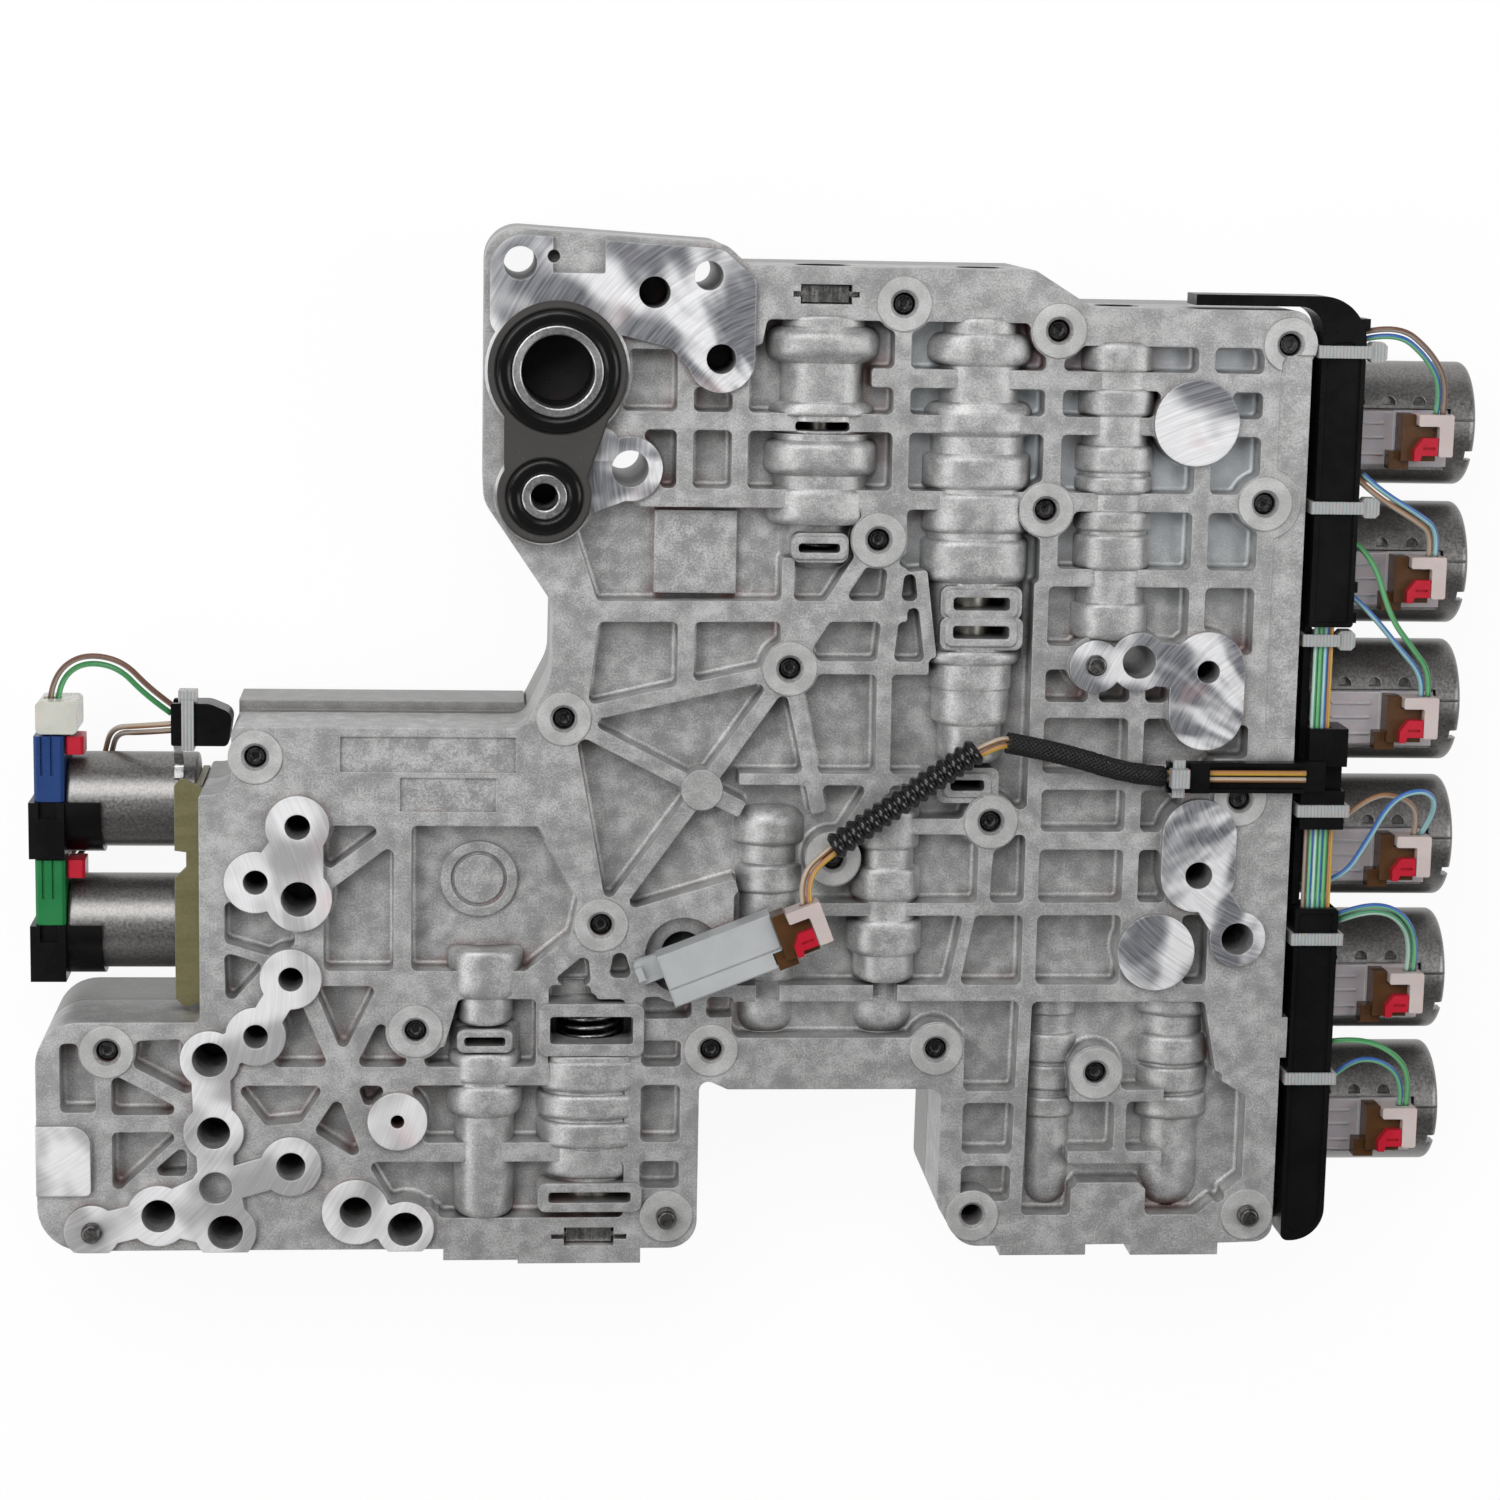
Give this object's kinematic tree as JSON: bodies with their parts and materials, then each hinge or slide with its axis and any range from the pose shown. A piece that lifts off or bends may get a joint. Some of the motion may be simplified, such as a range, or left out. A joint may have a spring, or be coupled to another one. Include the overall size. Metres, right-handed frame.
{
  "type": "transmission valve body",
  "caption": "Cast aluminium transmission valve body with spool valves in ribbed barrels, solenoids on both sides, seal carrier and wiring conduit.",
  "frame": {"origin": "middle of the castings on the plane of the rear casting's resting face", "axes": "+X to the long row of solenoids, +Y to the edge with the seal carrier, +Z from the resting face to the ribbed face"},
  "size_m": [0.3804, 0.2719, 0.0634],
  "materials": {
    "cast_aluminium": "cast, fine grain with machined pads",
    "cast_aluminium_rear": "cast, fine grain",
    "plate_steel": "satin",
    "carrier_plastic": "matt moulded",
    "black_rubber": "semi-gloss rubber",
    "sleeve_steel": "turned",
    "dark_screw_steel": "dark phosphate",
    "stud_steel": "satin",
    "bore_steel": "ground",
    "valve_aluminium": "hard anodised",
    "spring_steel": "drawn wire",
    "can_steel": "satin drawn can",
    "milky_plastic": "milky translucent",
    "brown_plastic": "amber brown",
    "white_plastic": "natural white",
    "red_plastic": "satin red",
    "black_plastic": "satin black",
    "blue_plastic": "satin blue",
    "green_plastic": "satin green",
    "olive_plate": "olive plated sheet",
    "dark_plate": "dark sheet",
    "tie_plastic": "natural nylon",
    "lead_insulation": "coloured insulation",
    "black_braid": "woven braid",
    "pale_plastic": "pale grey"
  },
  "bodies": {
    "casting": {"front_casting": "cast_aluminium", "separator_plate": "plate_steel", "rear_casting": "cast_aluminium_rear", "seal_carrier": "carrier_plastic", "pump_port_seal": "black_rubber", "pump_port_sleeve": "sleeve_steel", "cooler_port_seal": "black_rubber", "cooler_port_sleeve": "sleeve_steel", "casting_screws": "dark_screw_steel", "alignment_studs": "stud_steel", "bore_plugs": "bore_steel", "plug_retainers": "bore_steel", "valve_springs": "spring_steel", "solenoid_overmoulds": "milky_plastic", "solenoid_terminals": "brown_plastic", "solenoid_wire_plugs": "white_plastic", "solenoid_plug_locks": "red_plastic", "lockup_solenoid": "can_steel", "pressure_solenoid": "can_steel", "connector_shells": "black_plastic", "blue_connector": "blue_plastic", "green_connector": "green_plastic", "side_connector_locks": "red_plastic", "connector_cap": "milky_plastic", "left_bracket": "olive_plate", "right_bracket": "dark_plate", "upper_conduit": "black_plastic", "lower_conduit": "black_plastic", "conduit_tee": "black_plastic", "cable_clamp": "black_plastic", "clamp_clip": "sleeve_steel", "cable_ties": "tie_plastic", "solenoid_leads": "lead_insulation", "side_leads": "lead_insulation", "trunk_wires": "lead_insulation", "branch_wires": "lead_insulation", "branch_braid": "black_braid", "branch_conduit": "black_plastic", "sensor_plug": "white_plastic", "sensor_plug_lock": "red_plastic", "sensor_terminal": "brown_plastic", "temperature_sensor": "pale_plastic", "clutch_solenoid_1": "can_steel", "clutch_solenoid_2": "can_steel", "clutch_solenoid_3": "can_steel", "clutch_solenoid_4": "can_steel", "clutch_solenoid_5": "can_steel", "clutch_solenoid_6": "can_steel"},
    "main_pressure_valve": {"main_pressure_valve": "valve_aluminium"},
    "torque_converter_valve": {"torque_converter_valve": "valve_aluminium"},
    "clutch_regulator_valve": {"clutch_regulator_valve": "valve_aluminium"},
    "cooler_bypass_valve": {"cooler_bypass_valve": "valve_aluminium"},
    "lock_up_valve": {"lock_up_valve": "valve_aluminium"},
    "shift_valve_left": {"shift_valve_left": "valve_aluminium"},
    "manual_pressure_valve": {"manual_pressure_valve": "valve_aluminium"},
    "shift_valve_right": {"shift_valve_right": "valve_aluminium"},
    "solenoid_feed_valve": {"solenoid_feed_valve": "valve_aluminium"},
    "check_ball_1": {"check_ball_1": "bore_steel"},
    "check_ball_2": {"check_ball_2": "bore_steel"},
    "check_ball_3": {"check_ball_3": "bore_steel"}
  },
  "joints": [
    {"name": "main_pressure_valve_slide", "type": "slide", "parent": "casting", "child": "main_pressure_valve", "axis": [0, -1, 0], "range_m": [0, 0.006], "stiffness_N_per_m": 600, "springref_m": -0.004, "deforming": ["valve_springs"]},
    {"name": "torque_converter_valve_slide", "type": "slide", "parent": "casting", "child": "torque_converter_valve", "axis": [0, -1, 0], "range_m": [0, 0.006], "stiffness_N_per_m": 600, "springref_m": -0.004},
    {"name": "clutch_regulator_valve_slide", "type": "slide", "parent": "casting", "child": "clutch_regulator_valve", "axis": [0, -1, 0], "range_m": [0, 0.005], "stiffness_N_per_m": 600, "springref_m": -0.004},
    {"name": "cooler_bypass_valve_slide", "type": "slide", "parent": "casting", "child": "cooler_bypass_valve", "axis": [0, 1, 0], "range_m": [0, 0.004], "stiffness_N_per_m": 600, "springref_m": -0.004},
    {"name": "lock_up_valve_slide", "type": "slide", "parent": "casting", "child": "lock_up_valve", "axis": [0, 1, 0], "range_m": [0, 0.004], "stiffness_N_per_m": 600, "springref_m": -0.004},
    {"name": "shift_valve_left_slide", "type": "slide", "parent": "casting", "child": "shift_valve_left", "axis": [0, 1, 0], "range_m": [0, 0.0045], "stiffness_N_per_m": 600, "springref_m": -0.004},
    {"name": "manual_pressure_valve_slide", "type": "slide", "parent": "casting", "child": "manual_pressure_valve", "axis": [0, 1, 0], "range_m": [0, 0.006], "stiffness_N_per_m": 600, "springref_m": -0.004},
    {"name": "shift_valve_right_slide", "type": "slide", "parent": "casting", "child": "shift_valve_right", "axis": [0, 1, 0], "range_m": [0, 0.004], "stiffness_N_per_m": 600, "springref_m": -0.004},
    {"name": "solenoid_feed_valve_slide", "type": "slide", "parent": "casting", "child": "solenoid_feed_valve", "axis": [0, 1, 0], "range_m": [0, 0.0045], "stiffness_N_per_m": 600, "springref_m": -0.004},
    {"name": "check_ball_1_lift", "type": "slide", "parent": "casting", "child": "check_ball_1", "axis": [0, 0, 1], "range_m": [0, 0.0014]},
    {"name": "check_ball_2_lift", "type": "slide", "parent": "casting", "child": "check_ball_2", "axis": [0, 0, 1], "range_m": [0, 0.0014]},
    {"name": "check_ball_3_lift", "type": "slide", "parent": "casting", "child": "check_ball_3", "axis": [0, 0, 1], "range_m": [0, 0.0014]}
  ]
}
